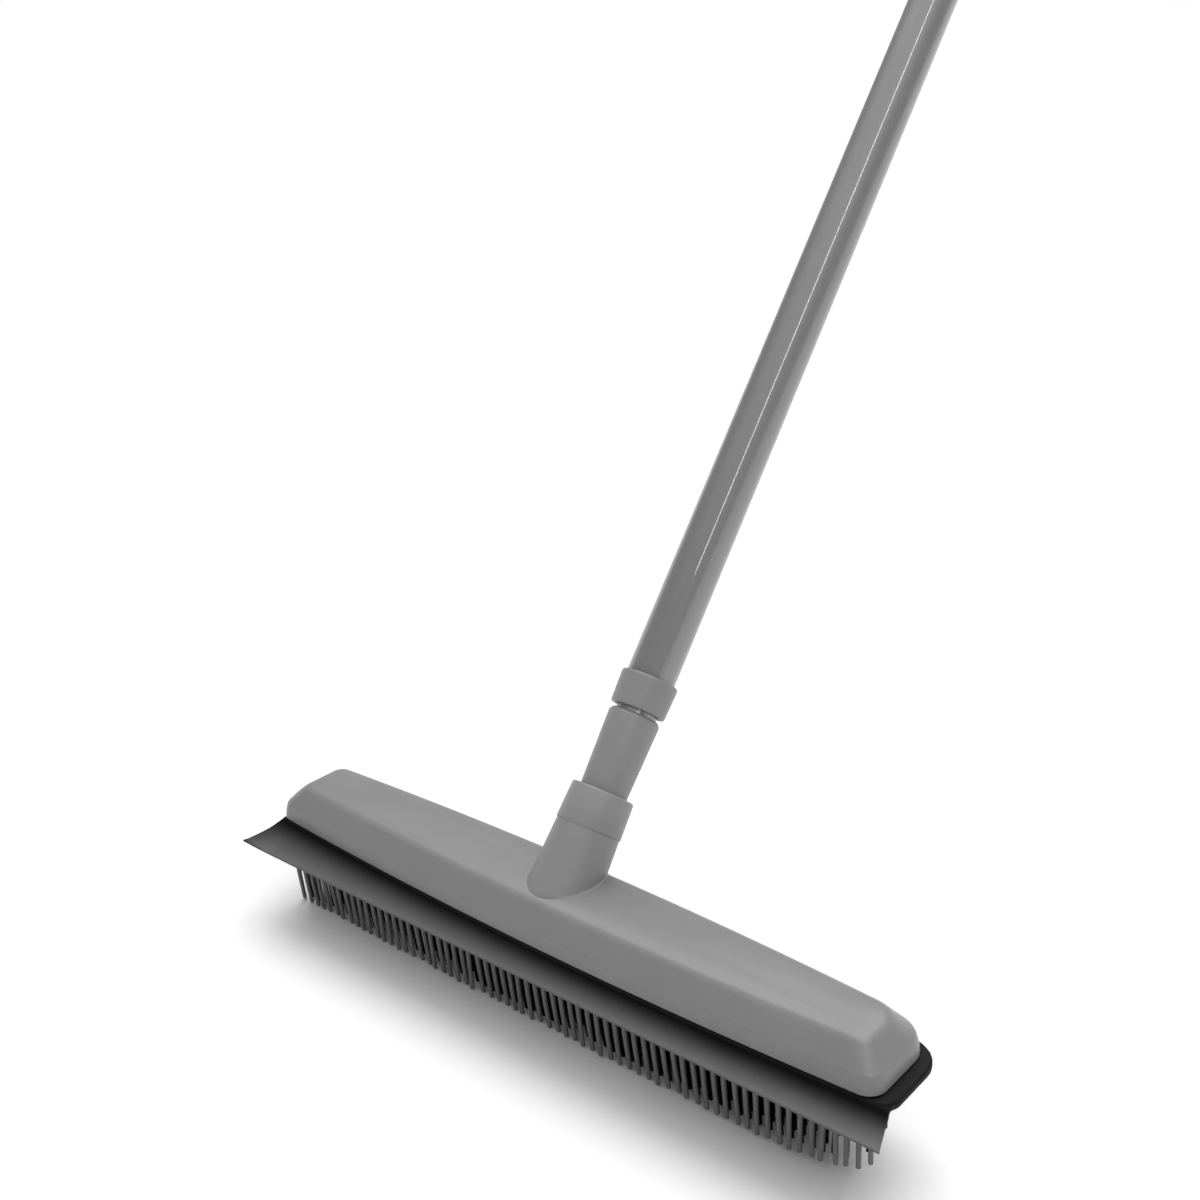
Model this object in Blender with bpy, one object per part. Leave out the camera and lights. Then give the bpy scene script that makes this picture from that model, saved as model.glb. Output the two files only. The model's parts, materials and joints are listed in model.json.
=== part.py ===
"""Rubber carpet broom: moulded head with a bristle block and squeegee skirt on a telescopic pole.

+X runs along the head, +Y away from the squeegee, +Z up. The origin is the tip of the middle bristle.
"""
import math

import bmesh
import bpy
from mathutils import Matrix, Vector

MM = 0.001
GAP = 0.3 * MM
SMOOTH_ANGLE = math.radians(35.0)

# Casing: long shell, bowed on both long sides, open underneath.
EDGE_Z = 44.0 * MM
CASING_HALF_LENGTH = 165.0 * MM
CASING_HALF_WIDTH = 20.6 * MM
CASING_BOW = 5.0 * MM
# Plan corners: all are tight but the far one at +X; tight ones get tighter with the inset.
TIGHT_CORNER_RADIUS = 8.0 * MM
CORNER_TIGHTENING = 0.4
SMALLEST_CORNER_RADIUS = 2.0 * MM
WIDE_CORNER_RADIUS = 13.5 * MM
# Largest part of the half width that a corner's radius may take.
CORNER_SHARE = 0.85
END_SLOPE = 1.18
# Height above the lower edge and inset from the lower outline, lower edge first.
SHOULDER = [(0.0, 0.0), (4.3, 0.5), (9.0, 2.3), (12.9, 5.0), (15.6, 7.8), (16.7, 10.0), (17.0, 12.6)]
HOLLOW = [(0.0, 2.5), (4.3, 3.0), (8.5, 4.9), (12.3, 7.9), (14.5, 11.5)]

# Pole axis: leans away from the squeegee side.
POLE_LEAN = math.radians(39.5)
POLE_FOOT = Vector((0.0, 5.7 * MM, EDGE_Z + 17.0 * MM))
SIDES = 32

# Socket on the casing, distances along the pole axis.
SOCKET_BOTTOM = -6.0 * MM
SOCKET_STEP = 20.6 * MM
SOCKET_TOP = 37.5 * MM
BORE_BOTTOM = -3.5 * MM

# Carrier plate and the screws that hold it.
CARRIER_THICKNESS = 2.4 * MM
SCREW_STATIONS = [-145.0, -110.0, -70.0, -35.0, 35.0, 70.0, 110.0, 145.0]
BOSS_RADIUS = 3.6 * MM
SCREW_RADIUS = 1.3 * MM
SCREW_HEAD_RADIUS = 2.9 * MM
SCREW_LENGTH = 9.5 * MM
SCREW_HEAD_HEIGHT = 1.3 * MM

# Rubber block: pad, bristle bed, bristles and skirt.
PAD_TOP = EDGE_Z - GAP
PAD_THICKNESS = 4.0 * MM
PAD_END_RIM = 2.5 * MM
PAD_SIDE_RIM = -0.5 * MM
BED_DROP = 1.0 * MM
# The block sits a little towards +X under the casing.
BLOCK_OFFSET = 3.0 * MM
BRISTLE_COLUMNS = 33
BRISTLE_ROWS = 5
BRISTLE_PITCH_X = 9.6 * MM
BRISTLE_PITCH_Y = 7.8 * MM
BRISTLE_BASE = (2.3 * MM, 2.3 * MM)
BRISTLE_TIP = (1.3 * MM, 1.3 * MM)
SKIRT_HALF_LENGTH = 170.5 * MM
SKIRT_REACH = 36.0 * MM
SKIRT_STATIONS = 14

# Pole pieces, distances along the pole axis.
ADAPTOR_BOTTOM = -3.0 * MM
ADAPTOR_TOP = 73.4 * MM
ADAPTOR_TAPER = 0.0297
ADAPTOR_RADIUS_AT_MOUTH = 10.6 * MM
# Lower end, upper end, outside radius and inside radius of each tube.
INNER_TUBE = (40.3 * MM, 630.0 * MM, 9.2 * MM, 8.6 * MM)
OUTER_TUBE = (77.5 * MM, 717.0 * MM, 11.0 * MM, 10.2 * MM)
COLLAR = (75.2 * MM, 90.3 * MM)
GRIP = (588.0 * MM, 712.0 * MM)
CAP_TOP = 762.0 * MM
EYE_RADIUS = 5.6 * MM
EYE_STATION = 746.0 * MM
EYE_TAB_THICKNESS = 9.0 * MM

GREY_PLASTIC = (0.27, 0.27, 0.27, 1.0)
BLACK_RUBBER = (0.018, 0.018, 0.018, 1.0)
COATED_STEEL = (0.20, 0.20, 0.20, 1.0)
BARE_STEEL = (0.55, 0.55, 0.55, 1.0)
DARK_PLASTIC = (0.05, 0.05, 0.05, 1.0)


def clear_scene():
    for item in list(bpy.data.objects):
        bpy.data.objects.remove(item, do_unlink=True)


def give_material(item, colour, roughness, metallic=0.0):
    """One Principled material of the object's own."""
    material = bpy.data.materials.new(item.name + "_material")
    material.use_nodes = True
    shader = material.node_tree.nodes["Principled BSDF"]
    shader.inputs["Base Color"].default_value = colour
    shader.inputs["Roughness"].default_value = roughness
    shader.inputs["Metallic"].default_value = metallic
    material.diffuse_color = colour
    item.data.materials.clear()
    item.data.materials.append(material)


def new_object(name, mesh_builder):
    """Object from a filled bmesh, with its faces turned outwards."""
    bmesh.ops.recalc_face_normals(mesh_builder, faces=mesh_builder.faces)
    mesh = bpy.data.meshes.new(name)
    mesh_builder.to_mesh(mesh)
    mesh_builder.free()
    item = bpy.data.objects.new(name, mesh)
    bpy.context.scene.collection.objects.link(item)
    shade_round(item)
    return item


def shade_round(item):
    """Smooth shading with the true edges kept sharp."""
    item.data.shade_smooth()
    item.data.set_sharp_from_angle(angle=SMOOTH_ANGLE)


def combine(item, others, operation):
    """Boolean the other objects into this one and remove them."""
    for other in others:
        modifier = item.modifiers.new("combine", "BOOLEAN")
        modifier.operation = operation
        modifier.solver = "EXACT"
        modifier.object = other
        depsgraph = bpy.context.evaluated_depsgraph_get()
        result = bpy.data.meshes.new_from_object(item.evaluated_get(depsgraph))
        item.modifiers.clear()
        item.data = result
        bpy.data.objects.remove(other, do_unlink=True)
    shade_round(item)


def cut_in_place(item, cutter):
    """Cut with a piece that stands on the pole, once both know where they are."""
    bpy.context.view_layer.update()
    combine(item, [cutter], "DIFFERENCE")


def join_rings(mesh_builder, lower, upper):
    count = len(lower)
    for index in range(count):
        following = (index + 1) % count
        corners = (lower[index], lower[following], upper[following], upper[index])
        mesh_builder.faces.new(corners)


def revolve(name, profile, sides=SIDES):
    """Closed profile of (radius, height) turned about Z; a radius of zero is a point on the axis."""
    mesh_builder = bmesh.new()
    rings = []
    for radius, height in profile:
        if radius == 0.0:
            rings.append([mesh_builder.verts.new((0.0, 0.0, height))])
            continue
        ring = []
        for step in range(sides):
            angle = 2.0 * math.pi * step / sides
            ring.append(mesh_builder.verts.new((radius * math.cos(angle), radius * math.sin(angle), height)))
        rings.append(ring)
    for index, ring in enumerate(rings):
        following = rings[(index + 1) % len(rings)]
        if len(ring) > 1 and len(following) > 1:
            join_rings(mesh_builder, ring, following)
        elif len(ring) > 1 or len(following) > 1:
            centre = min(ring, following, key=len)[0]
            rim = max(ring, following, key=len)
            for step in range(sides):
                mesh_builder.faces.new((rim[step], rim[(step + 1) % sides], centre))
    return new_object(name, mesh_builder)


def on_pole(item, station):
    """Stand an object's origin on the pole axis at this distance from the foot."""
    item.rotation_euler = (-POLE_LEAN, 0.0, 0.0)
    item.location = POLE_FOOT + Vector((0.0, math.sin(POLE_LEAN), math.cos(POLE_LEAN))) * station
    return item


def revolve_on_pole(name, profile, sides=SIDES):
    """Revolved piece whose profile heights are distances along the pole; its origin is its lower end."""
    station = min(height for radius, height in profile)
    local = [(radius, height - station) for radius, height in profile]
    return on_pole(revolve(name, local, sides), station)


def bake_transform(item):
    """Move the mesh to world coordinates, leaving the object's own transform empty."""
    turn = Matrix.Rotation(-POLE_LEAN, 4, "X")
    item.data.transform(Matrix.Translation(item.location) @ turn)
    item.location = (0.0, 0.0, 0.0)
    item.rotation_euler = (0.0, 0.0, 0.0)
    return item


def side_half_width(x, half_length, half_width, bow):
    """Half the width of a bowed outline at x."""
    return half_width + bow * (1.0 - (x / half_length) ** 2)


def corner_point(straight, radius, half_width, angle):
    """Point on the quarter round that ends the near side at +X; at angle 0 it leaves the side."""
    return straight + radius * math.sin(angle), -half_width + radius * (1.0 - math.cos(angle))


def near_side(half_length, half_width, left_radius, right_radius, long_steps, corner_steps):
    """Near half of the outline, from its left end round both corners to its right end."""
    left_straight = half_length - left_radius
    right_straight = half_length - right_radius
    side = []
    for step in range(corner_steps, 0, -1):
        x, y = corner_point(left_straight, left_radius, half_width, 0.5 * math.pi * step / corner_steps)
        side.append((-x, y))
    for step in range(long_steps + 1):
        x = (left_straight + right_straight) * step / long_steps - left_straight
        straight = right_straight if x > 0.0 else left_straight
        side.append((x, -side_half_width(x, straight, half_width, CASING_BOW)))
    for step in range(1, corner_steps + 1):
        side.append(corner_point(right_straight, right_radius, half_width, 0.5 * math.pi * step / corner_steps))
    return side


def bowed_outline(inset, end_extra=0.0, side_extra=0.0, long_steps=12, corner_steps=4):
    """Plan outline of the head, anticlockwise, moved in by inset and out by the two extras."""
    half_length = CASING_HALF_LENGTH + end_extra - inset * END_SLOPE
    half_width = CASING_HALF_WIDTH + side_extra - inset
    tight = max(TIGHT_CORNER_RADIUS - CORNER_TIGHTENING * inset, SMALLEST_CORNER_RADIUS)
    wide = min(WIDE_CORNER_RADIUS, CORNER_SHARE * half_width)
    near = near_side(half_length, half_width, tight, tight, long_steps, corner_steps)
    far = near_side(half_length, half_width, tight, wide, long_steps, corner_steps)
    return near + [(x, -y) for x, y in reversed(far)]


def loft(name, levels):
    """Closed body through outlines at given heights: levels of (outline, z), flat at both ends."""
    mesh_builder = bmesh.new()
    rings = []
    for outline, z in levels:
        rings.append([mesh_builder.verts.new((x, y, z)) for x, y in outline])
    for lower, upper in zip(rings, rings[1:]):
        join_rings(mesh_builder, lower, upper)
    mesh_builder.faces.new(rings[0])
    mesh_builder.faces.new(rings[-1])
    return new_object(name, mesh_builder)


def row_of_uprights(name, profile, sides=12):
    """One mesh holding the same revolved body at every screw station."""
    mesh_builder = bmesh.new()
    for station in SCREW_STATIONS:
        item = revolve(name, profile, sides)
        item.data.transform(Matrix.Translation((station * MM, 0.0, 0.0)))
        mesh_builder.from_mesh(item.data)
        bpy.data.objects.remove(item, do_unlink=True)
    return new_object(name, mesh_builder)


def pillar(radius, bottom, top):
    """Profile of a plain upright cylinder."""
    return [(0.0, bottom), (radius, bottom), (radius, top), (0.0, top)]


def bore_radius(station):
    return ADAPTOR_RADIUS_AT_MOUTH + GAP + (station - SOCKET_TOP) * ADAPTOR_TAPER


def adaptor_radius(station):
    return ADAPTOR_RADIUS_AT_MOUTH + (station - SOCKET_TOP) * ADAPTOR_TAPER


def casing_socket():
    """Neck that takes the pole, slightly fuller above its step."""
    profile = [
        (0.0, SOCKET_BOTTOM),
        (15.2 * MM, SOCKET_BOTTOM),
        (14.3 * MM, SOCKET_STEP - 0.4 * MM),
        (14.7 * MM, SOCKET_STEP),
        (14.1 * MM, SOCKET_TOP - 0.5 * MM),
        (13.7 * MM, SOCKET_TOP),
        (0.0, SOCKET_TOP),
    ]
    return bake_transform(revolve_on_pole("socket", profile))


def socket_bore():
    mouth = SOCKET_TOP + 5.0 * MM
    profile = [
        (0.0, BORE_BOTTOM),
        (bore_radius(BORE_BOTTOM), BORE_BOTTOM),
        (bore_radius(mouth), mouth),
        (0.0, mouth),
    ]
    return bake_transform(revolve_on_pole("bore", profile))


def build_casing():
    """Shell with its socket, screw bosses and cross ribs in one moulding."""
    outer = [(bowed_outline(inset * MM), EDGE_Z + height * MM) for height, inset in reversed(SHOULDER)]
    inner = [(bowed_outline(inset * MM), EDGE_Z + height * MM) for height, inset in HOLLOW]
    casing = loft("head_casing", outer + inner)
    boss_bottom = EDGE_Z + CARRIER_THICKNESS + 2.0 * GAP
    boss_top = EDGE_Z + 15.6 * MM
    bosses = row_of_uprights("bosses", pillar(BOSS_RADIUS, boss_bottom, boss_top))
    pilot_top = boss_bottom + SCREW_LENGTH + 0.8 * MM
    pilots = row_of_uprights("pilots", pillar(SCREW_RADIUS + GAP, EDGE_Z - 5.0 * MM, pilot_top))
    combine(casing, [casing_socket(), bosses], "UNION")
    combine(casing, [socket_bore(), pilots], "DIFFERENCE")
    give_material(casing, GREY_PLASTIC, 0.38)
    return casing


def build_carrier():
    """Stiff plate inside the casing's mouth, with a countersunk place for each screw."""
    outline = bowed_outline(2.5 * MM + GAP)
    narrower = bowed_outline(3.0 * MM + GAP)
    bottom = EDGE_Z + GAP
    carrier = loft("carrier_plate", [(outline, bottom), (narrower, bottom + CARRIER_THICKNESS - GAP)])
    below = bottom - 5.0 * MM
    above = bottom + 10.0 * MM
    recess = SCREW_HEAD_RADIUS + GAP
    passage = SCREW_RADIUS + GAP
    shoulder = bottom + 1.7 * MM
    profile = [(0.0, below), (recess, below), (recess, shoulder), (passage, shoulder), (passage, above), (0.0, above)]
    combine(carrier, [row_of_uprights("screw_holes", profile)], "DIFFERENCE")
    give_material(carrier, DARK_PLASTIC, 0.5)


def build_screws():
    head_bottom = EDGE_Z + GAP + 0.1 * MM
    head_top = head_bottom + SCREW_HEAD_HEIGHT
    tip = head_top + SCREW_LENGTH
    profile = [
        (0.0, head_bottom + 0.6 * MM),
        (0.9 * MM, head_bottom + 0.6 * MM),
        (0.9 * MM, head_bottom),
        (SCREW_HEAD_RADIUS, head_bottom),
        (SCREW_HEAD_RADIUS, head_top),
        (SCREW_RADIUS, head_top),
        (SCREW_RADIUS, tip - 1.5 * MM),
        (0.0, tip),
    ]
    for index, station in enumerate(SCREW_STATIONS):
        screw = revolve("carrier_screw_%d" % (index + 1), profile, 10)
        screw.data.transform(Matrix.Translation((station * MM, 0.0, 0.0)))
        give_material(screw, BARE_STEEL, 0.3, 1.0)


def skirt_section(x):
    """Cross-section of the squeegee skirt at x: upper side outwards, then lower side back."""
    root = side_half_width(x, CASING_HALF_LENGTH, CASING_HALF_WIDTH - 1.5 * MM, CASING_BOW)
    tip = SKIRT_REACH
    upper = [
        (-root + 4.0 * MM, PAD_TOP - 0.2 * MM),
        (-root - 0.3 * MM, PAD_TOP - 0.3 * MM),
        (-root - 0.25 * (tip - root), PAD_TOP - 3.6 * MM),
        (-root - 0.60 * (tip - root), PAD_TOP - 5.6 * MM),
        (-tip, PAD_TOP - 7.6 * MM),
    ]
    lower = [
        (-tip + 0.1 * MM, PAD_TOP - 8.6 * MM),
        (-root - 0.55 * (tip - root), PAD_TOP - 7.1 * MM),
        (-root - 0.15 * (tip - root), PAD_TOP - 5.2 * MM),
        (-root + 1.6 * MM, PAD_TOP - 3.6 * MM),
        (-root + 4.0 * MM, PAD_TOP - 3.6 * MM),
    ]
    return upper + lower


def build_skirt():
    mesh_builder = bmesh.new()
    rings = []
    for step in range(SKIRT_STATIONS + 1):
        x = SKIRT_HALF_LENGTH * (2.0 * step / SKIRT_STATIONS - 1.0)
        rings.append([mesh_builder.verts.new((x + BLOCK_OFFSET, y, z)) for y, z in skirt_section(x)])
    for lower, upper in zip(rings, rings[1:]):
        join_rings(mesh_builder, lower, upper)
    mesh_builder.faces.new(rings[0])
    mesh_builder.faces.new(rings[-1])
    return new_object("skirt", mesh_builder)


def build_bristle_bed():
    """Block whose underside is a grid, each cell drawn down into one tapered bristle."""
    mesh_builder = bmesh.new()
    top = PAD_TOP - PAD_THICKNESS + 1.0 * MM
    bottom = PAD_TOP - PAD_THICKNESS - BED_DROP
    corners = {}
    for column in range(BRISTLE_COLUMNS + 1):
        for row in range(BRISTLE_ROWS + 1):
            x = (column - 0.5 * BRISTLE_COLUMNS) * BRISTLE_PITCH_X
            y = (row - 0.5 * BRISTLE_ROWS) * BRISTLE_PITCH_Y
            corners[column, row] = mesh_builder.verts.new((x, y, bottom))
    for column in range(BRISTLE_COLUMNS):
        for row in range(BRISTLE_ROWS):
            cell = [(column, row), (column + 1, row), (column + 1, row + 1), (column, row + 1)]
            rim = [corners[place] for place in cell]
            centre = sum((vert.co for vert in rim), Vector()) / 4.0
            base = bristle_ring(mesh_builder, centre.x, centre.y, bottom, BRISTLE_BASE)
            tip = bristle_ring(mesh_builder, centre.x, centre.y, 0.0, BRISTLE_TIP)
            join_rings(mesh_builder, rim, base)
            join_rings(mesh_builder, base, tip)
            mesh_builder.faces.new(tip)
    border = [(column, 0) for column in range(BRISTLE_COLUMNS)]
    border += [(BRISTLE_COLUMNS, row) for row in range(BRISTLE_ROWS)]
    border += [(column, BRISTLE_ROWS) for column in range(BRISTLE_COLUMNS, 0, -1)]
    border += [(0, row) for row in range(BRISTLE_ROWS, 0, -1)]
    rim = [corners[place] for place in border]
    raised = [mesh_builder.verts.new((vert.co.x, vert.co.y, top)) for vert in rim]
    join_rings(mesh_builder, rim, raised)
    mesh_builder.faces.new(raised)
    return new_object("bristle_bed", mesh_builder)


def bristle_ring(mesh_builder, x, y, z, size):
    half_x = 0.5 * size[0]
    half_y = 0.5 * size[1]
    places = [(x - half_x, y - half_y), (x + half_x, y - half_y), (x + half_x, y + half_y), (x - half_x, y + half_y)]
    return [mesh_builder.verts.new((place_x, place_y, z)) for place_x, place_y in places]


def build_rubber():
    """Pad with its rim, the skirt and the bristles in one moulding."""
    outline = [(x + BLOCK_OFFSET, y) for x, y in bowed_outline(0.0, PAD_END_RIM, PAD_SIDE_RIM)]
    pad = loft("rubber_block", [(outline, PAD_TOP - PAD_THICKNESS), (outline, PAD_TOP)])
    combine(pad, [build_bristle_bed(), build_skirt()], "UNION")
    give_material(pad, BLACK_RUBBER, 0.55)


def build_adaptor():
    """Tapered plug that the pole's inner tube is pressed into."""
    tube_seat = INNER_TUBE[0] - GAP
    tube_bore = INNER_TUBE[2] + GAP + 0.05 * MM
    profile = [
        (adaptor_radius(ADAPTOR_BOTTOM) - 0.8 * MM, ADAPTOR_BOTTOM),
        (adaptor_radius(ADAPTOR_BOTTOM + 1.0 * MM), ADAPTOR_BOTTOM + 1.0 * MM),
        (adaptor_radius(ADAPTOR_TOP - 1.2 * MM), ADAPTOR_TOP - 1.2 * MM),
        (adaptor_radius(ADAPTOR_TOP) - 1.0 * MM, ADAPTOR_TOP),
        (tube_bore, ADAPTOR_TOP),
        (tube_bore, tube_seat),
        (6.5 * MM, tube_seat),
        (6.5 * MM, ADAPTOR_BOTTOM),
    ]
    adaptor = revolve_on_pole("adaptor", profile)
    give_material(adaptor, GREY_PLASTIC, 0.4)


def build_tube(name, measures, colour):
    bottom, top, outside, inside = measures
    profile = [(outside, bottom), (outside, top), (inside, top), (inside, bottom)]
    tube = revolve_on_pole(name, profile)
    give_material(tube, colour, 0.28, 0.9)


def build_lock():
    """Twist lock: plug with spindle in the inner tube, cone and split sleeve, and the screw that stops the cone."""
    base = INNER_TUBE[1]
    plug_profile = [
        (0.0, base - 16.0 * MM),
        (8.1 * MM, base - 16.0 * MM),
        (8.1 * MM, base + GAP),
        (9.2 * MM, base + GAP),
        (9.2 * MM, base + 2.6 * MM),
        (3.0 * MM, base + 3.0 * MM),
        (3.0 * MM, base + 48.0 * MM),
        (1.6 * MM, base + 48.0 * MM),
        (1.6 * MM, base + 36.0 * MM),
        (0.0, base + 36.0 * MM),
    ]
    plug = revolve_on_pole("spindle_plug", plug_profile, 24)
    give_material(plug, DARK_PLASTIC, 0.5)

    cone_profile = [
        (5.2 * MM, base + 8.0 * MM),
        (8.6 * MM, base + 42.0 * MM),
        (8.6 * MM, base + 46.0 * MM),
        (3.4 * MM, base + 46.0 * MM),
        (3.4 * MM, base + 8.0 * MM),
    ]
    cone = revolve_on_pole("lock_cone", cone_profile, 24)
    give_material(cone, DARK_PLASTIC, 0.5)

    sleeve_profile = [
        (9.8 * MM, base + 4.0 * MM),
        (9.8 * MM, base + 38.0 * MM),
        (8.7 * MM, base + 38.0 * MM),
        (5.6 * MM, base + 7.0 * MM),
        (5.6 * MM, base + 4.0 * MM),
    ]
    sleeve = revolve_on_pole("lock_sleeve", sleeve_profile, 24)
    slit_cube = bmesh.new()
    bmesh.ops.create_cube(slit_cube, size=1.0)
    slit = new_object("slit", slit_cube)
    slit.data.transform(Matrix.Diagonal((12.0 * MM, 1.8 * MM, 80.0 * MM, 1.0)))
    slit.data.transform(Matrix.Translation((9.0 * MM, 0.0, 10.0 * MM)))
    on_pole(slit, base + 4.0 * MM)
    cut_in_place(sleeve, slit)
    give_material(sleeve, GREY_PLASTIC, 0.5)

    screw_profile = [
        (0.0, base + 38.0 * MM),
        (1.2 * MM, base + 38.5 * MM),
        (1.2 * MM, base + 48.5 * MM),
        (5.0 * MM, base + 48.5 * MM),
        (5.0 * MM, base + 49.6 * MM),
        (2.6 * MM, base + 51.2 * MM),
        (0.0, base + 51.2 * MM),
    ]
    stop_screw = revolve_on_pole("stop_screw", screw_profile, 16)
    give_material(stop_screw, BARE_STEEL, 0.3, 1.0)


def build_collar():
    """Ring on the outer tube's lower end, with a lip that guides the inner tube."""
    bottom, top = COLLAR
    lip = INNER_TUBE[2] + GAP + 0.05 * MM
    seat = OUTER_TUBE[2] + GAP
    profile = [
        (12.1 * MM, bottom),
        (12.4 * MM, bottom + 0.6 * MM),
        (12.9 * MM, top - 0.8 * MM),
        (12.5 * MM, top),
        (seat, top),
        (seat, OUTER_TUBE[0] - GAP),
        (lip, OUTER_TUBE[0] - GAP),
        (lip, bottom),
    ]
    collar = revolve_on_pole("collar", profile)
    give_material(collar, GREY_PLASTIC, 0.4)


def build_grip():
    """Grip sleeve near the top, with shallow finger grooves."""
    bottom, top = GRIP
    seat = OUTER_TUBE[2] + GAP
    profile = [(12.4 * MM, bottom), (13.4 * MM, bottom + 2.0 * MM)]
    grooves = 7
    spacing = (top - bottom - 16.0 * MM) / grooves
    for index in range(grooves):
        start = bottom + 8.0 * MM + index * spacing
        profile.append((13.4 * MM, start + 0.20 * spacing))
        profile.append((12.6 * MM, start + 0.50 * spacing))
        profile.append((13.4 * MM, start + 0.80 * spacing))
    profile += [(13.6 * MM, top - 2.0 * MM), (12.8 * MM, top), (seat, top), (seat, bottom)]
    grip = revolve_on_pole("grip_sleeve", profile, 24)
    give_material(grip, DARK_PLASTIC, 0.6)


def build_end_cap():
    """Cap plugged into the outer tube, flattened into a tab with the hanging eye."""
    tube_top = OUTER_TUBE[1]
    plug_bottom = tube_top - 24.0 * MM
    profile = [
        (0.0, plug_bottom),
        (9.2 * MM, plug_bottom),
        (9.8 * MM, plug_bottom + 3.0 * MM),
        (9.8 * MM, tube_top + GAP),
        (12.4 * MM, tube_top + GAP),
        (12.9 * MM, tube_top + 2.0 * MM),
        (12.9 * MM, tube_top + 8.0 * MM),
        (12.4 * MM, CAP_TOP - 12.0 * MM),
        (10.2 * MM, CAP_TOP - 4.5 * MM),
        (6.0 * MM, CAP_TOP - 1.2 * MM),
        (0.0, CAP_TOP),
    ]
    cap = revolve_on_pole("end_cap", profile)
    cutters = []
    for side in (-1.0, 1.0):
        cheek_builder = bmesh.new()
        bmesh.ops.create_cube(cheek_builder, size=1.0)
        cheek = new_object("cheek", cheek_builder)
        cheek.data.transform(Matrix.Diagonal((20.0 * MM, 40.0 * MM, 60.0 * MM, 1.0)))
        offset = side * (10.0 * MM + 0.5 * EYE_TAB_THICKNESS)
        cheek.data.transform(Matrix.Translation((offset, 0.0, 40.0 * MM)))
        cutters.append(on_pole(cheek, tube_top))
    eye = revolve("eye", [(0.0, -0.02), (EYE_RADIUS, -0.02), (EYE_RADIUS, 0.02), (0.0, 0.02)], 24)
    eye.data.transform(Matrix.Rotation(0.5 * math.pi, 4, "Y"))
    cutters.append(on_pole(eye, EYE_STATION))
    for cutter in cutters:
        cut_in_place(cap, cutter)
    give_material(cap, GREY_PLASTIC, 0.45)


clear_scene()
build_casing()
build_carrier()
build_screws()
build_rubber()
build_adaptor()
build_tube("inner_tube", INNER_TUBE, BARE_STEEL)
build_lock()
build_tube("outer_tube", OUTER_TUBE, COATED_STEEL)
build_collar()
build_grip()
build_end_cap()
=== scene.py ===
import json
import math
import random

import bmesh
import bpy
from mathutils import Matrix, Vector
from mathutils.bvhtree import BVHTree


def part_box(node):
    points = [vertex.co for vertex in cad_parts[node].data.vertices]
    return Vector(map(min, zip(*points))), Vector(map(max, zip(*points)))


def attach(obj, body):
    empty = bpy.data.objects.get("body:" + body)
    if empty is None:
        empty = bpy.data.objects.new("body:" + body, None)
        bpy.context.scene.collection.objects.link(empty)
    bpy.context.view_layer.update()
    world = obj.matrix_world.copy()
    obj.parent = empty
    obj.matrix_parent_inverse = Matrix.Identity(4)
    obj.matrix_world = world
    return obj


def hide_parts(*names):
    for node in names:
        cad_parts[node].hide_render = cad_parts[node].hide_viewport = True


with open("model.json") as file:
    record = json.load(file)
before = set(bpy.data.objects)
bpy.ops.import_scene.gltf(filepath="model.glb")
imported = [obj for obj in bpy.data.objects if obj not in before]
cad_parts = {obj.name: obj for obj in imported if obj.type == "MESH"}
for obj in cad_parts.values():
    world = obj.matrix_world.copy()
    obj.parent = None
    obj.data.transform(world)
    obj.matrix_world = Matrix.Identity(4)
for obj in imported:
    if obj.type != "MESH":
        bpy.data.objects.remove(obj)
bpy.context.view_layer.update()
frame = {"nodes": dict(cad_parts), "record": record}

MM = 0.001
ROUND = 96

# Faces that meet at more than these angles, in degrees, have a sharp edge between them.
SHARP_ANGLE = 40.0
SHELL_SHARP_ANGLE = 35.0
SOCKET_SHARP_ANGLE = 50.0
BRISTLE_SHARP_ANGLE = 50.0
SKIRT_SHARP_ANGLE = 55.0
SOFT_SHARP_ANGLE = 60.0

# Driving sizes, read from the frame.
CASING_LOW, CASING_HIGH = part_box("head_casing")
EDGE_Z = CASING_LOW[2]
HALF_LENGTH = CASING_HIGH[0]
JOINTS = {joint["name"]: joint for joint in frame["record"]["behaviour"]["joints"]}
AXIS = Vector(JOINTS["twist_lock"]["axis"]).normalized()
LEAN = math.atan2(AXIS.y, AXIS.z)
TWIST_AT = Vector(JOINTS["twist_lock"]["pos_m"])
FOOT_HEIGHT = 17.0 * MM
FOOT = TWIST_AT - AXIS * ((TWIST_AT.z - EDGE_Z - FOOT_HEIGHT) / AXIS.z)

# Plan of the head. All corners are tight but the far one at +X; tight ones get tighter with the inset.
HALF_WIDTH = 20.6 * MM
BOW = 5.0 * MM
TIGHT_CORNER_RADIUS = 8.0 * MM
CORNER_TIGHTENING = 0.4
SMALLEST_CORNER_RADIUS = 2.0 * MM
WIDE_CORNER_RADIUS = 13.5 * MM
CORNER_SHARE = 0.85
END_SLOPE = 1.18
SIDE_STEPS = 72
CORNER_STEPS = 10

# Casing section: height above the lower edge and inset from the lower outline, in mm, lower edge first.
OUTSIDE = [
    (0.0, 0.5), (0.4, 0.05), (1.0, 0.0), (4.0, 0.35), (6.6, 0.9), (7.5, 1.25), (8.3, 1.85), (11.4, 4.3),
    (14.4, 6.9), (15.4, 8.0), (16.1, 9.3), (16.5, 11.0), (17.0, 14.0),
]
INSIDE = [(0.0, 2.2), (4.3, 3.0), (8.5, 4.9), (12.3, 7.9), (14.5, 11.5)]

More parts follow.
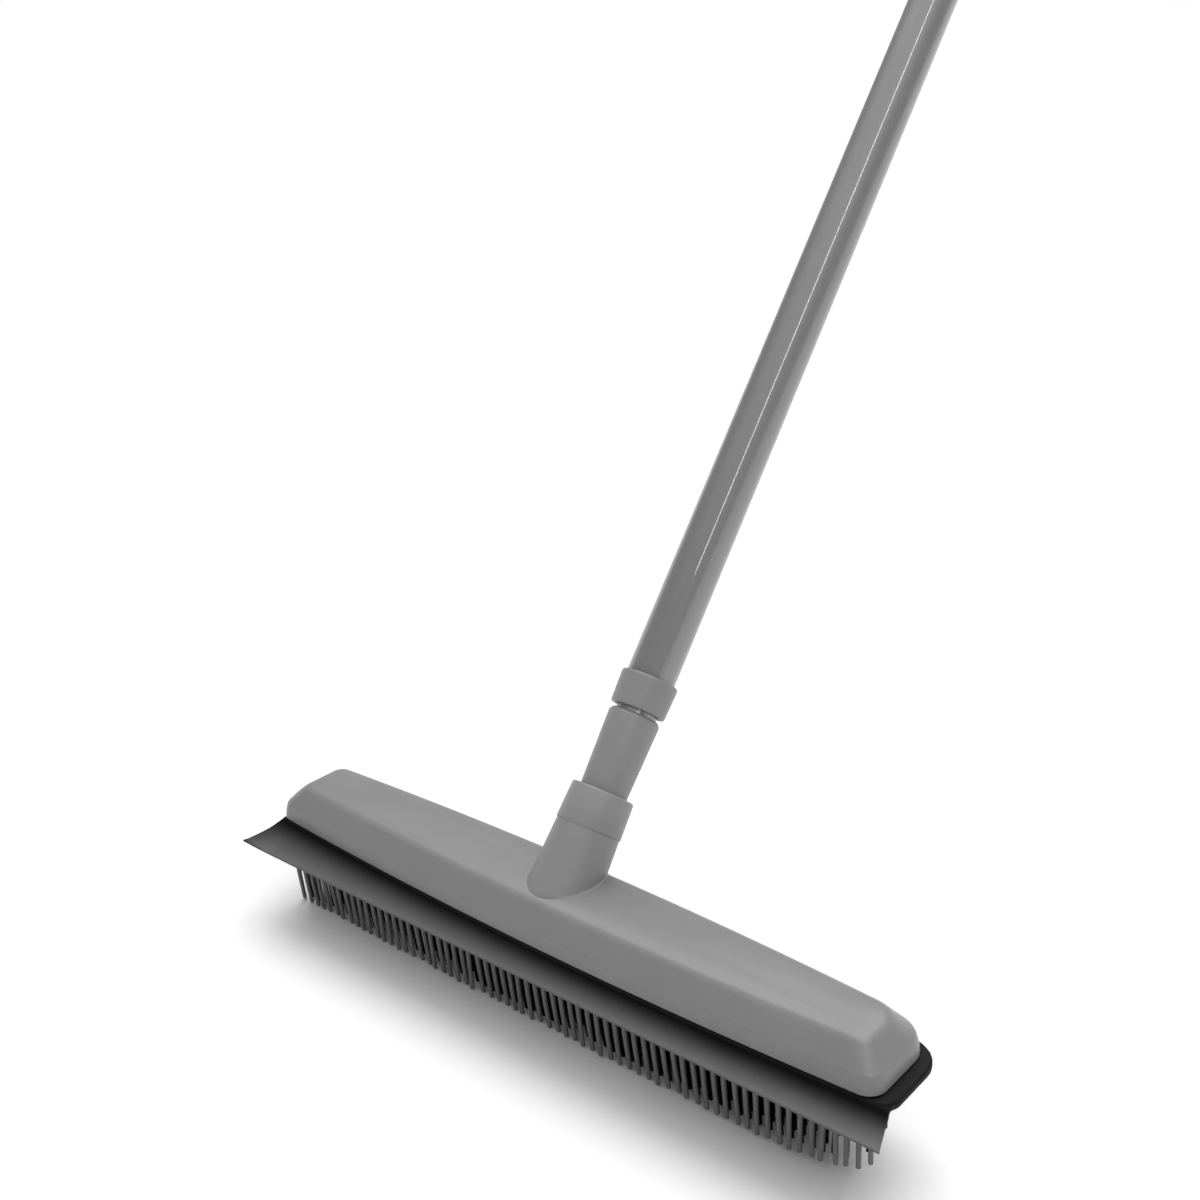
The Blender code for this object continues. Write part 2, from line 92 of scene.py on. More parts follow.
# Socket, in mm. Stations are distances along the pole axis from its foot.
SOCKET_STEP = 20.6
SOCKET_TOP = 37.5
SOCKET_UPPER_RADIUS = 14.7
SOCKET_NARROWING = 0.6
SOCKET_LOWER_RADIUS = 14.3
SOCKET_WIDENING = 0.9
SOCKET_FOOT_RADIUS = 14.9
FILLET = 1.3
FILLET_SINK = 0.04
ABOVE_CASING = 60.0
BORE_BOTTOM = -3.5
BORE_CLEARANCE = 0.3
OPENING_RADIUS = 12.6
OPENING_TOP = 25.0

# Pole pieces, in mm; ends are stations along the pole axis.
MOUTH_RADIUS = 10.6
TAPER = 0.0297
INNER_TUBE_SEAT = 9.55
OUTER_TUBE_SEAT = 11.3
ADAPTOR_BOTTOM = -3.0
ADAPTOR_TOP = 73.4
ADAPTOR_SEAT_BOTTOM = 40.0
ADAPTOR_HOLLOW = 6.5
TUBE_OUTSIDE = 11.0
TUBE_INSIDE = 10.2
TUBE_ENDS = (77.5, 717.0)
COLLAR_ENDS = (75.2, 90.3)
COLLAR_RADIUS = 12.9
COLLAR_FLOOR = 2.0
GRIP_ENDS = (588.0, 712.0)
GRIP_RADIUS = 13.35
GRIP_WAIST = 12.6
GRIP_GROOVES = 7
GRIP_MARGIN = 8.0
CAP_TOP = 762.0
CAP_RADIUS = 12.9
CAP_PLUG_RADIUS = 9.8
CAP_PLUG_LENGTH = 24.0
EYE_STATION = 746.0
EYE_RADIUS = 5.6
TAB_THICKNESS = 9.0

# Rubber pad: it stands out past the casing at its ends and a little back along its sides.
PAD_TOP = EDGE_Z - 0.3 * MM
PAD_THICKNESS = 4.0 * MM
END_RIM = 2.5 * MM
SIDE_RIM = -0.5 * MM
# The whole rubber block sits this far towards +X.
BLOCK_OFFSET = 3.0 * MM

# Squeegee skirt. Its lip flares a little more towards -X and curls outwards and up at that end.
SKIRT_STATIONS = 160
SKIRT_ROOT_HALF_LENGTH = 166.8 * MM
SKIRT_TIP_HALF_LENGTH = 171.2 * MM
SKIRT_REACH = 35.5 * MM
SKIRT_FLARE = 2.8 * MM
SKIRT_DROP = 7.8 * MM
CURL_START = 0.90
CURL_REACH = 2.0 * MM
CURL_LIFT = 0.32
SKIRT_ROOT_THICKNESS = 1.6
SKIRT_THINNING = 0.9
LIP_BEAD = 0.35
LIP_BEAD_START = 0.93

# Bristle field; radii, bend, spreads and shortening in mm.
BRISTLE_PITCH = 4.92 * MM
BRISTLE_COLUMNS = 66
BRISTLE_ROWS = 9
ROW_PITCH = 4.7 * MM
BRISTLE_SIDES = 8
BRISTLE_LEVELS = 7
BRISTLE_ROOT_RADIUS = 2.0
BRISTLE_RADIUS = 1.45
BRISTLE_TAPER = 0.55
BRISTLE_TIP_RADIUS = 0.45
BRISTLE_SINK = 0.3 * MM
BRISTLE_BEND = 3.4
BEND_SPREAD = 0.35
SIDEWAYS_SPREAD = 0.45
SHORTENING = (0.05, 0.45)
BEND_FADE_START = 80.0 * MM
BEND_FADE_RUN = 60.0 * MM

# Bristles are shorter towards +X: by how much in the end, where that starts and over what run it grows.
SLOW_TRIM, SLOW_START, SLOW_RUN = 2.0 * MM, 20.0 * MM, 104.0 * MM
QUICK_TRIM, QUICK_START, QUICK_RUN = 10.0 * MM, 110.0 * MM, 54.0 * MM
CORNER_TRIM, CORNER_START, CORNER_RUN = 18.0 * MM, 143.0 * MM, 16.0 * MM
CORNER_SLANT = 0.88

# Camera: turn, rise and roll in degrees, and its place from the middle of the casing's edge in its own axes.
CAMERA_TURN = 41.26
CAMERA_RISE = 21.65
CAMERA_ROLL = -2.07
CAMERA_BACK = 636.44 * MM
CAMERA_ACROSS = 16.16 * MM
CAMERA_UP = 133.72 * MM
CAMERA_LENS = 44.87
CAMERA_SENSOR = 36.0

# Studio. The sides are directions that lights come from; the sky's stops are sines of its height angle.
FLOOR_HALF_SIZE = 40.0
FLOOR_TONE = 0.90
SUN_POWER = 1.8
SUN_ANGLE = 55.0
SUN_SIDE = Vector((-0.2, 0.5, 1.0))
STRIP_SIZES = (0.07, 1.8)
STRIP_POWER = 4.2
STRIP_STATION = 0.95
STRIP_SIDE = Vector((0.621, -0.605, 0.4986))
STRIP_DISTANCE = 1.5
SKY_WHITE = (0.06, 0.85)
SKY_DIM = (0.16, 0.50)
SKY_DIM_TONE = 0.34


# ---------------------------------------------------------------- shared helpers


def ramped(value, start, run):
    """0 up to start, growing evenly to 1 over this run."""
    return min(max((value - start) / run, 0.0), 1.0)


def grey(value):
    return (value, value, value, 1.0)


def shade_smooth(mesh, sharp_angle):
    for polygon in mesh.polygons:
        polygon.use_smooth = True
    mesh.set_sharp_from_angle(angle=math.radians(sharp_angle))


def new_object(name, mesh_builder, sharp_angle=SHARP_ANGLE):
    bmesh.ops.recalc_face_normals(mesh_builder, faces=mesh_builder.faces)
    mesh = bpy.data.meshes.new(name)
    mesh_builder.to_mesh(mesh)
    mesh_builder.free()
    shade_smooth(mesh, sharp_angle)
    item = bpy.data.objects.new(name, mesh)
    bpy.context.scene.collection.objects.link(item)
    return item


def finish(item, material, body, replaced):
    """Give a piece its material and its place in the frame."""
    item.data.materials.clear()
    item.data.materials.append(material)
    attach(item, body)
    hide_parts(replaced)


def join_rings(mesh_builder, lower, upper):
    count = len(lower)
    for index in range(count):
        following = (index + 1) % count
        mesh_builder.faces.new((lower[index], lower[following], upper[following], upper[index]))


def corner_curve(start, corner, end, steps):
    """Points of the curve from start to end that the corner pulls outwards."""
    curve = []
    for step in range(steps + 1):
        t = step / steps
        curve.append(start * (1 - t) ** 2 + corner * 2 * t * (1 - t) + end * t * t)
    return curve


def smooth_profile(points, steps):
    """Catmull-Rom curve through the points."""
    curve = []
    last = len(points) - 1
    for index in range(last):
        p0 = Vector(points[max(index - 1, 0)])
        p1 = Vector(points[index])
        p2 = Vector(points[index + 1])
        p3 = Vector(points[min(index + 2, last)])
        for step in range(steps):
            t = step / steps
            place = 0.5 * (2.0 * p1 + (p2 - p0) * t + (2.0 * p0 - 5.0 * p1 + 4.0 * p2 - p3) * t * t
                           + (3.0 * p1 - p0 - 3.0 * p2 + p3) * t ** 3)
            curve.append(tuple(place))
    curve.append(tuple(points[-1]))
    return curve


def rounded(profile, radius, steps=4):
    """Closed (radius, height) profile with each corner off the axis replaced by a small arc."""
    result = []
    count = len(profile)
    for index in range(count):
        corner = Vector(profile[index])
        if corner.x == 0.0:
            result.append(tuple(corner))
            continue
        before = Vector(profile[index - 1]) - corner
        after = Vector(profile[(index + 1) % count]) - corner
        start = corner + before.normalized() * min(radius, 0.45 * before.length)
        end = corner + after.normalized() * min(radius, 0.45 * after.length)
        result += [tuple(place) for place in corner_curve(start, corner, end, steps)]
    return result


def circle(centre, radius, sides):
    """Points about the centre, at its height."""
    angles = [2.0 * math.pi * step / sides for step in range(sides)]
    return [centre + Vector((radius * math.cos(angle), radius * math.sin(angle), 0.0)) for angle in angles]


def ring_at(mesh_builder, radius, height, sides):
    """Ring of vertices about Z, or a single one where the radius is 0."""
    centre = Vector((0.0, 0.0, height * MM))
    if radius == 0.0:
        return [mesh_builder.verts.new(centre)]
    return [mesh_builder.verts.new(place) for place in circle(centre, radius * MM, sides)]


def revolve(name, profile, sides=ROUND, sharp_angle=SHARP_ANGLE):
    """Closed (radius, height) profile in mm turned about Z."""
    mesh_builder = bmesh.new()
    rings = [ring_at(mesh_builder, radius, height, sides) for radius, height in profile]
    for index, ring in enumerate(rings):
        following = rings[(index + 1) % len(rings)]
        if len(ring) > 1 and len(following) > 1:
            join_rings(mesh_builder, ring, following)
        elif len(ring) > 1 or len(following) > 1:
            centre = min(ring, following, key=len)[0]
            rim = max(ring, following, key=len)
            for step in range(sides):
                mesh_builder.faces.new((rim[step], rim[(step + 1) % sides], centre))
    return new_object(name, mesh_builder, sharp_angle)


def skin(mesh_builder, sections):
    """Closed surface through sections of points, with a flat face at either end."""
    rings = [[mesh_builder.verts.new(place) for place in section] for section in sections]
    for first, second in zip(rings, rings[1:]):
        join_rings(mesh_builder, first, second)
    mesh_builder.faces.new(rings[0])
    mesh_builder.faces.new(rings[-1])


def to_pole(item):
    """Lay a mesh made about Z along the pole axis, its zero at the axis's foot."""
    item.data.transform(Matrix.Translation(FOOT) @ Matrix.Rotation(-LEAN, 4, "X"))
    return item


def cut(item, cutter):
    """Take the cutter's shape out of the item and delete the cutter."""
    modifier = item.modifiers.new("cut", "BOOLEAN")
    modifier.operation = "DIFFERENCE"
    modifier.solver = "EXACT"
    modifier.object = cutter
    depsgraph = bpy.context.evaluated_depsgraph_get()
    result = bpy.data.meshes.new_from_object(item.evaluated_get(depsgraph))
    item.modifiers.clear()
    item.data = result
    bpy.data.objects.remove(cutter, do_unlink=True)


# ---------------------------------------------------------------- materials


class Nodes:
    """Short way to write a material's nodes."""

    def __init__(self, name):
        self.material = bpy.data.materials.new(name)
        self.material.use_nodes = True
        self.tree = self.material.node_tree
        self.shader = self.tree.nodes["Principled BSDF"]
        self.place = self.add("ShaderNodeTexCoord").outputs["Object"]

    def add(self, kind, **settings):
        node = self.tree.nodes.new(kind)
        for key, value in settings.items():
            setattr(node, key, value)
        return node

    def put(self, value, socket):
        """Link a node's output to a socket, or set the socket to an even value."""
        if hasattr(value, "is_linked"):
            self.tree.links.new(value, socket)
        else:
            socket.default_value = value

    def shade(self, name, value):
        """Give one of the shader's sockets a node's output or an even value."""
        self.put(value, self.shader.inputs[name])

    def noise(self, scale, detail=4.0, roughness=0.55, stretch=None):
        """Noise over the object, drawn out along the pole where stretch is given."""
        place = self.place
        if stretch:
            mapping = self.add("ShaderNodeMapping")
            mapping.inputs["Rotation"].default_value = (LEAN, 0.0, 0.0)
            mapping.inputs["Scale"].default_value = stretch
            self.put(place, mapping.inputs["Vector"])
            place = mapping.outputs["Vector"]
        node = self.add("ShaderNodeTexNoise")
        node.inputs["Scale"].default_value = scale
        node.inputs["Detail"].default_value = detail
        node.inputs["Roughness"].default_value = roughness
        self.put(place, node.inputs["Vector"])
        return node.outputs["Fac"]

    def calculate(self, operation, first, second):
        node = self.add("ShaderNodeMath", operation=operation)
        self.put(first, node.inputs[0])
        self.put(second, node.inputs[1])
        return node.outputs["Value"]

    def along(self, axis):
        """Distance along one of the object's axes; -Z counts the other way and |Y both ways."""
        split = self.add("ShaderNodeSeparateXYZ")
        self.put(self.place, split.inputs["Vector"])
        value = split.outputs[axis[-1]]
        if axis[0] == "-":
            return self.calculate("MULTIPLY", value, -1.0)
        if axis[0] == "|":
            return self.calculate("ABSOLUTE", value, 0.0)
        return value

    def ramp(self, value, low, high, start=0.35, end=0.65):
        """Grey running from low to high as value goes from start to end."""
        node = self.add("ShaderNodeValToRGB")
        node.color_ramp.elements[0].position = start
        node.color_ramp.elements[1].position = end
        node.color_ramp.elements[0].color = grey(low)
        node.color_ramp.elements[1].color = grey(high)
        self.put(value, node.inputs["Fac"])
        return node.outputs["Color"]

    def remap(self, value, low, high, start=0.0, end=1.0):
        """Number running from low to high as value goes from start to end."""
        node = self.add("ShaderNodeMapRange")
        node.inputs["From Min"].default_value = start
        node.inputs["From Max"].default_value = end
        node.inputs["To Min"].default_value = low
        node.inputs["To Max"].default_value = high
        self.put(value, node.inputs["Value"])
        return node.outputs["Result"]

    def mix(self, factor, first, second):
        """Colour going from first to second with the factor."""
        node = self.add("ShaderNodeMix", data_type="RGBA")
        self.put(factor, node.inputs["Factor"])
        self.put(first, node.inputs["A"])
        self.put(second, node.inputs["B"])
        return node.outputs["Result"]

    def bump(self, height, strength, distance, under=None):
        node = self.add("ShaderNodeBump")
        node.inputs["Strength"].default_value = strength
        node.inputs["Distance"].default_value = distance
        self.put(height, node.inputs["Height"])
        if under is not None:
            self.put(under, node.inputs["Normal"])
        return node.outputs["Normal"]


def moulded_plastic(name, tone, roughness, grain=1.0, coat=0.0):
    """Moulded polypropylene: fine spark texture, faint flow marks and slightly paler edges from wear."""
    nodes = Nodes(name)
    base = nodes.ramp(nodes.noise(38.0, 3.0), tone * 0.97, tone * 1.03)
    pointiness = nodes.add("ShaderNodeNewGeometry").outputs["Pointiness"]
    edge = nodes.remap(pointiness, 0.0, 1.0, 0.52, 0.60)
    nodes.shade("Base Color", nodes.mix(edge, base, grey(tone * 1.12)))
    flow = nodes.noise(9.0, 2.0, 0.5)
    nodes.shade("Roughness", nodes.remap(flow, roughness - 0.02, roughness + 0.03, 0.3, 0.7))
    waves = nodes.bump(nodes.noise(120.0, 2.0, 0.5), 0.03 * grain, 0.3 * MM)
    sparks = nodes.noise(2600.0, 2.0, 0.6)
    nodes.shade("Normal", nodes.bump(sparks, 0.16 * grain, 0.12 * MM, waves))
    nodes.shade("Coat Weight", coat)
    nodes.shade("Coat Roughness", 0.08)
    nodes.shade("IOR", 1.49)
    return nodes.material


def paint_lit_and_shaded(nodes, bloom, base, axis, start, end, lit_tone):
    """Painted light and shade: turn the base paler and a little shinier from start to end along an axis,
    slowly at first.
    """
    straight = nodes.remap(nodes.along(axis), 0.0, 1.0, start, end)
    lit_share = nodes.calculate("POWER", straight, 1.7)
    nodes.shade("Specular IOR Level", nodes.remap(lit_share, 0.05, 0.50))
    patchy = nodes.ramp(bloom, lit_tone * 0.9, lit_tone * 1.1, 0.35, 0.70)
    return nodes.mix(lit_share, base, patchy)


def rubber(name, tone, roughness, painted_light=None):
    """Soft moulded rubber: satin, a little bloom and dust in patches, fine matt grain.

    The last argument paints light and shade: it is (axis, start, end, tone), black where shade is painted at
    start and this tone where light is painted at end.
    """
    nodes = Nodes(name)
    bloom = nodes.noise(55.0, 5.0, 0.65)
    base = nodes.ramp(bloom, tone * 0.8, tone * 1.35, 0.35, 0.70)
    nodes.shade("Specular IOR Level", 0.15)
    # Painted light and shade: the base runs from black to a paler lit tone along an axis.
    if painted_light:
        base = paint_lit_and_shaded(nodes, bloom, base, *painted_light)
    dust = nodes.remap(nodes.noise(900.0, 2.0, 0.5), 0.0, 0.4, 0.72, 0.82)
    nodes.shade("Base Color", nodes.mix(dust, base, grey(tone * 3.0)))
    nodes.shade("Roughness", nodes.remap(bloom, roughness - 0.06, roughness + 0.10, 0.3, 0.7))
    grain = nodes.noise(1800.0, 3.0, 0.6)
    nodes.shade("Normal", nodes.bump(grain, 0.22, 0.15 * MM))
    nodes.shade("IOR", 1.52)
    return nodes.material


def coated_steel(name, tone, roughness):
    """Steel tube with a grey coat: faint drawn lines along the tube under a smooth clear film."""
    nodes = Nodes(name)
    lines = nodes.noise(60.0, 3.0, 0.6, (22.0, 22.0, 0.6))
    base = nodes.ramp(lines, tone * 0.95, tone * 1.05, 0.3, 0.7)
    cloud = nodes.remap(nodes.noise(14.0, 3.0), 0.0, 0.25, 0.4, 0.7)
    nodes.shade("Base Color", nodes.mix(cloud, base, grey(tone * 1.12)))
    nodes.shade("Roughness", nodes.remap(lines, roughness - 0.04, roughness + 0.05, 0.3, 0.7))
    drawn = nodes.bump(lines, 0.05, 0.2 * MM)
    peel = nodes.noise(420.0, 2.0, 0.5)
    nodes.shade("Normal", nodes.bump(peel, 0.05, 0.1 * MM, drawn))
    nodes.shade("Metallic", 0.25)
    nodes.shade("Coat Weight", 1.0)
    nodes.shade("Coat Roughness", 0.05)
    nodes.shade("Coat IOR", 1.7)
    return nodes.material


def bright_steel(name, tone, roughness):
    """Plated steel: drawn lines along the length, small stains."""
    nodes = Nodes(name)
    stain = nodes.noise(45.0, 4.0)
    nodes.shade("Base Color", nodes.ramp(stain, tone * 0.85, tone * 1.05, 0.35, 0.6))
    lines = nodes.noise(80.0, 3.0, 0.6, (26.0, 26.0, 0.5))
    nodes.shade("Roughness", nodes.remap(lines, roughness - 0.08, roughness + 0.10, 0.3, 0.7))
    nodes.shade("Normal", nodes.bump(lines, 0.12, 0.2 * MM))
    nodes.shade("Metallic", 1.0)
    return nodes.material


# ---------------------------------------------------------------- head outline


def side_half_width(x, straight, half_width):
    """Half the width of the bowed outline at x."""
    return half_width + BOW * (1.0 - (x / straight) ** 2)


def corner_point(straight, radius, half_width, share):
    """Point on the quarter round that ends the near side at +X; at share 0 it leaves the side."""
    angle = 0.5 * math.pi * share
    return straight + radius * math.sin(angle), -half_width + radius * (1.0 - math.cos(angle))


def near_side(half_length, half_width, left_radius, right_radius):
    """Near half of the outline, from its left end round both corners to its right end."""
    left_straight = half_length - left_radius
    right_straight = half_length - right_radius
    side = []
    for step in range(CORNER_STEPS, 0, -1):
        x, y = corner_point(left_straight, left_radius, half_width, step / CORNER_STEPS)
        side.append((-x, y))
    for step in range(SIDE_STEPS + 1):
        x = (left_straight + right_straight) * step / SIDE_STEPS - left_straight
        straight = right_straight if x > 0.0 else left_straight
        side.append((x, -side_half_width(x, straight, half_width)))
    for step in range(1, CORNER_STEPS + 1):
        side.append(corner_point(right_straight, right_radius, half_width, step / CORNER_STEPS))
    return side


def bowed_outline(inset, end_extra=0.0, side_extra=0.0):
    """Plan outline of the head, anticlockwise, moved in by inset and out by the two extras."""
    half_length = HALF_LENGTH + end_extra - inset * END_SLOPE
    half_width = HALF_WIDTH + side_extra - inset
    tight = max(TIGHT_CORNER_RADIUS - CORNER_TIGHTENING * inset, SMALLEST_CORNER_RADIUS)
    wide = min(WIDE_CORNER_RADIUS, CORNER_SHARE * half_width)
    near = near_side(half_length, half_width, tight, tight)
    far = near_side(half_length, half_width, tight, wide)
    return near + [(x, -y) for x, y in reversed(far)]


def outline_at(z, inset, end_extra=0.0, side_extra=0.0):
    """The head's outline lying at this height."""
    return [(x, y, z) for x, y in bowed_outline(inset, end_extra, side_extra)]


# ---------------------------------------------------------------- casing and socket


def socket_radius(station):
    """Outside radius of the socket, fuller above its step."""
    if station > SOCKET_STEP:
        rise = (station - SOCKET_STEP) / (SOCKET_TOP - SOCKET_STEP)
        return SOCKET_UPPER_RADIUS - SOCKET_NARROWING * rise
    return SOCKET_LOWER_RADIUS + SOCKET_WIDENING * (SOCKET_STEP - station) / SOCKET_STEP


def adaptor_radius(station):
    """Outside radius of the adaptor's slight taper."""
    return MOUTH_RADIUS + (station - SOCKET_TOP) * TAPER


def bore_radius(station):
    return adaptor_radius(station) + BORE_CLEARANCE


def pole_point(radius, angle, station):
    side = Vector((1.0, 0.0, 0.0))
    up = side.cross(AXIS)
    return FOOT + (AXIS * station + (side * math.cos(angle) + up * math.sin(angle)) * radius) * MM


def surface_station(shell_tree, radius, angle):
    """Station at which a line beside the pole axis comes out of the casing's surface."""
    start = pole_point(radius, angle, ABOVE_CASING)
    place = shell_tree.ray_cast(start, -AXIS)[0]
    return (place - FOOT).dot(AXIS) / MM


def socket_profile():
    """Bore, rim and upper outside of the socket as (radius, station), from the bore's bottom round."""
    mouth = bore_radius(SOCKET_TOP)
    rim = socket_radius(SOCKET_TOP)
    return [
        (bore_radius(BORE_BOTTOM) - 0.5, BORE_BOTTOM),
        (bore_radius(BORE_BOTTOM), BORE_BOTTOM + 0.5),
        (bore_radius(SOCKET_TOP - 1.2), SOCKET_TOP - 1.2),
        (mouth + 0.25, SOCKET_TOP - 0.4),
        (mouth + 0.8, SOCKET_TOP),
        (rim - 0.7, SOCKET_TOP),
        (rim - 0.3, SOCKET_TOP - 0.2),
        (rim, SOCKET_TOP - 0.8),
        (socket_radius(SOCKET_STEP + 6.0), SOCKET_STEP + 6.0),
        (SOCKET_UPPER_RADIUS - 0.04, SOCKET_STEP + 0.6),
        (SOCKET_UPPER_RADIUS - 0.15, SOCKET_STEP + 0.2),
        (SOCKET_LOWER_RADIUS, SOCKET_STEP),
        (SOCKET_LOWER_RADIUS - 0.08, SOCKET_STEP - 0.3),
        (SOCKET_LOWER_RADIUS, SOCKET_STEP - 0.9),
    ]


def socket_column(shell_tree, angle):
    """Points down the socket's lower outside and along the fillet onto the casing's surface."""
    meet = surface_station(shell_tree, SOCKET_FOOT_RADIUS, angle)
    beside = pole_point(SOCKET_FOOT_RADIUS + FILLET, angle, meet)
    place, normal = shell_tree.find_nearest(beside)[:2]
    end = place - normal * FILLET_SINK * MM
    top = SOCKET_STEP - 3.0
    bottom = meet + FILLET
    straight_steps = 5
    column = []
    for step in range(straight_steps + 1):
        station = top + (bottom - top) * step / straight_steps
        column.append(pole_point(socket_radius(station), angle, station))
    corner = pole_point(socket_radius(meet), angle, meet)
    return column + corner_curve(column[-1], corner, end, 8)[1:]


def build_socket(shell_tree):
    """Socket with its inner bore, stepped outside and a fillet that follows the casing's surface."""
    mesh_builder = bmesh.new()
    centre = mesh_builder.verts.new(pole_point(0.0, 0.0, BORE_BOTTOM))
    angles = [2.0 * math.pi * step / ROUND for step in range(ROUND)]
    rings = []
    for radius, station in socket_profile():
        rings.append([mesh_builder.verts.new(pole_point(radius, angle, station)) for angle in angles])
    columns = [socket_column(shell_tree, angle) for angle in angles]
    for places in zip(*columns):
        rings.append([mesh_builder.verts.new(place) for place in places])
    for step in range(ROUND):
        mesh_builder.faces.new((centre, rings[0][step], rings[0][(step + 1) % ROUND]))
    for lower, upper in zip(rings, rings[1:]):
        join_rings(mesh_builder, lower, upper)
    return new_object("casing_socket", mesh_builder, SOCKET_SHARP_ANGLE)


def casing_outlines(section, steps):
    """Outlines up a (height, inset) section in mm."""
    return [outline_at(EDGE_Z + height * MM, inset * MM) for height, inset in smooth_profile(section, steps)]


def build_casing(shell_material, socket_material):
    """Hollow shell, opened where the socket's bore goes through it, and the socket on it."""
    shell_builder = bmesh.new()
    skin(shell_builder, casing_outlines(OUTSIDE, 4)[::-1] + casing_outlines(INSIDE, 3))
    bmesh.ops.recalc_face_normals(shell_builder, faces=shell_builder.faces)
    shell_tree = BVHTree.FromBMesh(shell_builder)
    shell = new_object("casing_shell", shell_builder, SHELL_SHARP_ANGLE)
    socket = build_socket(shell_tree)
    low = BORE_BOTTOM - 1.0
    opening = [(0.0, low), (OPENING_RADIUS, low), (OPENING_RADIUS, OPENING_TOP), (0.0, OPENING_TOP + 5.0)]
    cut(shell, to_pole(revolve("opening", opening, 64)))
    shade_smooth(shell.data, SHELL_SHARP_ANGLE)
    finish(shell, shell_material, "head", "head_casing")
    finish(socket, socket_material, "head", "head_casing")


# ---------------------------------------------------------------- rubber block


def build_pad(material):
    """Rubber pad under the casing; its rim stands out at both ends."""
    bottom = PAD_TOP - PAD_THICKNESS
    section = [
        (1.2, bottom), (0.35, bottom + 0.35 * MM), (0.0, bottom + 1.2 * MM),
        (0.0, PAD_TOP - 1.0 * MM), (0.3, PAD_TOP - 0.3 * MM), (1.0, PAD_TOP),
    ]
    mesh_builder = bmesh.new()
    skin(mesh_builder, [outline_at(z, inset * MM, END_RIM, SIDE_RIM) for inset, z in section])
    pad = new_object("rubber_pad", mesh_builder, SOFT_SHARP_ANGLE)
    pad.data.transform(Matrix.Translation((BLOCK_OFFSET, 0.0, 0.0)))
    finish(pad, material, "head", "rubber_block")


def skirt_path(along):
    """Middle line of the skirt's section: flat under the casing, down, then flaring outwards.

    along runs from -1 at the -X end to 1 at the +X end.
    """
    root = HALF_WIDTH + BOW * (1.0 - along ** 2)
    curl = ramped(-along, CURL_START, 1.0 - CURL_START) ** 2
    lip = SKIRT_REACH - SKIRT_FLARE * along + CURL_REACH * curl
    reach = lip - root
    fall = 1.0 - CURL_LIFT * curl
    points = [
        (root - 15.0 * MM, -1.5 * MM), (root - 3.0 * MM, -1.5 * MM), (root - 0.9 * MM, -2.0 * MM),
        (root + 0.04 * reach, -3.7 * MM * fall), (root + 0.30 * reach, -5.6 * MM * fall),
        (root + 0.66 * reach, -6.9 * MM * fall), (lip, -SKIRT_DROP * fall),
    ]
    return smooth_profile(points, 6)


def skirt_ring(along):
    """Closed section of the skirt, thinning to a small bead at the lip."""
    path = skirt_path(along)
    last = len(path) - 1
    upper = []
    lower = []
    for index, (y, z) in enumerate(path):
        t = index / last
        half_length = SKIRT_ROOT_HALF_LENGTH + (SKIRT_TIP_HALF_LENGTH - SKIRT_ROOT_HALF_LENGTH) * t ** 3
        run = Vector(path[min(index + 1, last)]) - Vector(path[max(index - 1, 0)])
        bead = LIP_BEAD * ramped(t, LIP_BEAD_START, 1.0 - LIP_BEAD_START)
        thickness = (SKIRT_ROOT_THICKNESS - SKIRT_THINNING * t + bead) * MM
        offset = Vector((-run.y, run.x)).normalized() * 0.5 * thickness
        x = along * half_length + BLOCK_OFFSET
        upper.append((x, -(y + offset.x), PAD_TOP + z + offset.y))
        lower.append((x, -(y - offset.x), PAD_TOP + z - offset.y))
    y, z = path[-1]
    lip = [(along * SKIRT_TIP_HALF_LENGTH + BLOCK_OFFSET, -(y + 0.4 * MM), PAD_TOP + z - 0.1 * MM)]
    return upper + lip + lower[::-1]


def build_skirt(material):
    mesh_builder = bmesh.new()
    stations = range(SKIRT_STATIONS + 1)
    skin(mesh_builder, [skirt_ring(2.0 * station / SKIRT_STATIONS - 1.0) for station in stations])
    skirt = new_object("squeegee_skirt", mesh_builder, SKIRT_SHARP_ANGLE)
    finish(skirt, material, "head", "rubber_block")


def bristle_section(level, lean, length):
    """Radius and centre of a bristle's ring; it starts with a wide root and ends in a rounded tip."""
    t = level / BRISTLE_LEVELS
    radius = BRISTLE_RADIUS - BRISTLE_TAPER * t
    centre = Vector((lean[0] * t * t, lean[1] * t * t, -length * t))
    if level == 0:
        radius = BRISTLE_ROOT_RADIUS
    if level == 1:
        centre = Vector((0.0, 0.0, -1.2 * MM))
    if level == BRISTLE_LEVELS - 1:
        centre = Vector((lean[0] * 0.97, lean[1] * 0.97, -length + 0.4 * MM))
    if level == BRISTLE_LEVELS:
        radius = BRISTLE_TIP_RADIUS
    return radius * MM, centre


def add_bristle(mesh_builder, base, lean, length):
    """Tapered round bristle, curving the way it leans."""
    sections = []
    for level in range(BRISTLE_LEVELS + 1):
        radius, centre = bristle_section(level, lean, length)
        sections.append(circle(base + centre, radius, BRISTLE_SIDES))
    skin(mesh_builder, sections)


def end_trim(x, y):
    """How much shorter the bristles are towards the +X end, most of all at its far corner."""
    slow = ramped(x, SLOW_START, SLOW_RUN)
    quick = ramped(x, QUICK_START, QUICK_RUN)
    corner = ramped(x + CORNER_SLANT * y, CORNER_START, CORNER_RUN)
    return SLOW_TRIM * slow + QUICK_TRIM * quick ** 2 + CORNER_TRIM * corner


